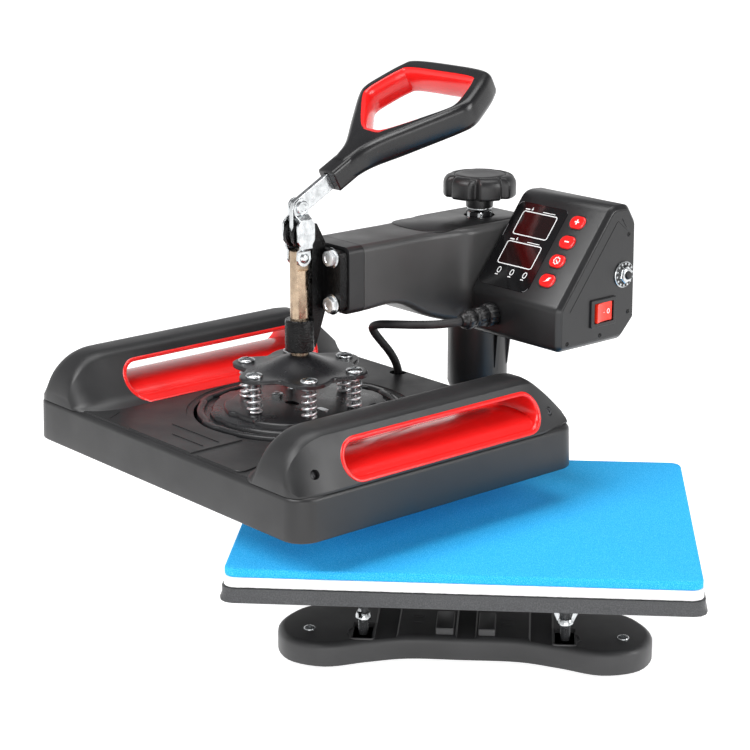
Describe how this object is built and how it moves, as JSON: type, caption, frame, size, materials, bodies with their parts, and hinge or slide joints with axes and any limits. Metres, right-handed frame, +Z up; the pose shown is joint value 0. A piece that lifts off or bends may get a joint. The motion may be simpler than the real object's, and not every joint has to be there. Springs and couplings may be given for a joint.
{
  "type": "heat press",
  "caption": "Swing-away heat press with a padded lower platen, a heated upper head on a toggle lever, and a sloped control box on the arm.",
  "frame": {"origin": "on the underside of the base plate, below the centre of the lower platen", "axes": "+Z up, +X to the operator's right, +Y from the operator to the post"},
  "size_m": [0.5757, 0.4682, 0.4531],
  "materials": {
    "black_plastic": "black moulded plastic, satin with a fine grain",
    "red_plastic": "bright red glossy moulded plastic",
    "black_steel": "black powder-coated steel",
    "zinc_steel": "bright zinc-plated steel",
    "bronze": "polished bronze-coloured shaft",
    "aluminium": "plain cast aluminium",
    "black_casting": "cast iron under a glossy black wrinkle paint",
    "black_rubber": "black rubber",
    "blue_sponge": "sky-blue sponge with a fine closed skin",
    "white_foam": "white foam"
  },
  "bodies": {
    "base": {"base_cover": "black_plastic", "base_frame": "black_steel", "rubber_foot_1": "black_rubber", "rubber_foot_2": "black_rubber", "rubber_foot_3": "black_rubber", "rubber_foot_4": "black_rubber", "platen_plate": "black_steel", "foam_pad": "white_foam", "sponge_mat": "blue_sponge"},
    "wing_nut_left": {"wing_nut_left": "zinc_steel"},
    "wing_nut_right": {"wing_nut_right": "zinc_steel"},
    "arm": {"column_sleeve": "black_plastic", "swivel_bush": "bronze", "arm_frame": "black_steel", "arm_cover": "black_plastic", "arm_collar": "black_plastic", "press_casting": "black_casting", "casting_bolt_1": "zinc_steel", "casting_bolt_2": "zinc_steel", "fork_pin": "zinc_steel", "control_housing": "black_plastic", "control_side_panel": "black_plastic", "cable_socket": "black_plastic", "cable_plug": "black_plastic", "head_cable": "black_rubber", "breaker_bushing": "zinc_steel", "rocker_bezel": "black_plastic", "mains_inlet": "black_plastic"},
    "knob_washer": {"thrust_washer": "zinc_steel"},
    "knob": {"pressure_knob": "black_plastic"},
    "button_plus": {"button_plus": "red_plastic"},
    "button_minus": {"button_minus": "red_plastic"},
    "button_set": {"button_set": "red_plastic"},
    "button_start": {"button_start": "red_plastic"},
    "rocker": {"rocker_switch": "red_plastic"},
    "breaker": {"breaker_button": "black_plastic"},
    "lever": {"lever_bar": "zinc_steel", "handle_grip": "black_plastic", "handle_insert": "red_plastic"},
    "links": {"toggle_link_left": "zinc_steel", "toggle_link_right": "zinc_steel"},
    "shaft": {"press_shaft": "bronze", "spider_plate": "black_steel"},
    "head": {"head_shell": "black_plastic", "grip_insert_left": "red_plastic", "grip_insert_right": "red_plastic", "heat_platen": "aluminium", "pressure_disc": "black_steel", "spider_screw_1": "zinc_steel", "spider_screw_2": "zinc_steel", "spider_screw_3": "zinc_steel", "spider_screw_4": "zinc_steel", "spider_screw_5": "zinc_steel", "spider_screw_6": "zinc_steel", "press_spring_1": "zinc_steel", "press_spring_2": "zinc_steel", "press_spring_3": "zinc_steel", "press_spring_4": "zinc_steel", "press_spring_5": "zinc_steel", "press_spring_6": "zinc_steel"}
  },
  "joints": [
    {"name": "arm_swing", "type": "hinge", "parent": "base", "child": "arm", "pos_m": [0, 0.2126, 0.25], "axis": [0, 0, 1], "range_deg": [-75, 44.7]},
    {"name": "lever", "type": "hinge", "parent": "arm", "child": "lever", "pos_m": [-0.14954, 0.06148, 0.3204], "axis": [0.7108, -0.7034, 0], "range_deg": [0, 122]},
    {"name": "shaft_slide", "type": "slide", "parent": "arm", "child": "shaft", "axis": [0, 0, -1], "range_m": [0, 0.0316], "deforming": ["head_cable"]},
    {"name": "link_fold", "type": "hinge", "parent": "lever", "child": "links", "pos_m": [-0.14954, 0.06148, 0.3444], "axis": [0.7108, -0.7034, 0], "range_deg": [-95, 0]},
    {"name": "head_float", "type": "slide", "parent": "shaft", "child": "head", "axis": [0, 0, 1], "range_m": [0, 0.005], "stiffness_N_per_m": 12000, "springref_m": -0.004, "deforming": ["press_spring_1", "press_spring_2", "press_spring_3", "press_spring_4", "press_spring_5", "press_spring_6"]},
    {"name": "knob_turn", "type": "hinge", "parent": "knob_washer", "child": "knob", "pos_m": [0, 0.2126, 0.335], "axis": [0, 0, 1], "range_deg": [-210, 720]},
    {"name": "knob_travel", "type": "slide", "parent": "arm", "child": "knob_washer", "axis": [0, 0, 1], "range_m": [-0.0011, 0.0036]},
    {"name": "button_plus_press", "type": "slide", "parent": "arm", "child": "button_plus", "axis": [0.5541, 0.56, -0.6159], "range_m": [0, 0.0012], "stiffness_N_per_m": 400, "springref_m": -0.0005},
    {"name": "button_minus_press", "type": "slide", "parent": "arm", "child": "button_minus", "axis": [0.5541, 0.56, -0.6159], "range_m": [0, 0.0012], "stiffness_N_per_m": 400, "springref_m": -0.0005},
    {"name": "button_set_press", "type": "slide", "parent": "arm", "child": "button_set", "axis": [0.5541, 0.56, -0.6159], "range_m": [0, 0.0012], "stiffness_N_per_m": 400, "springref_m": -0.0005},
    {"name": "button_start_press", "type": "slide", "parent": "arm", "child": "button_start", "axis": [0.5541, 0.56, -0.6159], "range_m": [0, 0.0012], "stiffness_N_per_m": 400, "springref_m": -0.0005},
    {"name": "rocker_tilt", "type": "hinge", "parent": "arm", "child": "rocker", "pos_m": [0.10828, 0.11474, 0.245], "axis": [0, 0, 1], "range_deg": [0, 16]},
    {"name": "breaker_press", "type": "slide", "parent": "arm", "child": "breaker", "axis": [-0.7108, 0.7034, 0], "range_m": [0, 0.003], "stiffness_N_per_m": 400, "springref_m": -0.0005},
    {"name": "wing_nut_left_turn", "type": "hinge", "parent": "base", "child": "wing_nut_left", "pos_m": [-0.083, -0.076, 0.03], "axis": [0, 0, 1], "range_deg": [-180, 180]},
    {"name": "wing_nut_right_turn", "type": "hinge", "parent": "base", "child": "wing_nut_right", "pos_m": [0.083, -0.076, 0.03], "axis": [0, 0, 1], "range_deg": [-180, 180]}
  ],
  "couplings": [
    {"joint": "shaft_slide", "follows": "lever", "m_per_rad": 0.014794},
    {"joint": "link_fold", "follows": "lever", "ratio": -0.77},
    {"joint": "knob_travel", "follows": "knob_turn", "m_per_rad": 0.0002785}
  ]
}
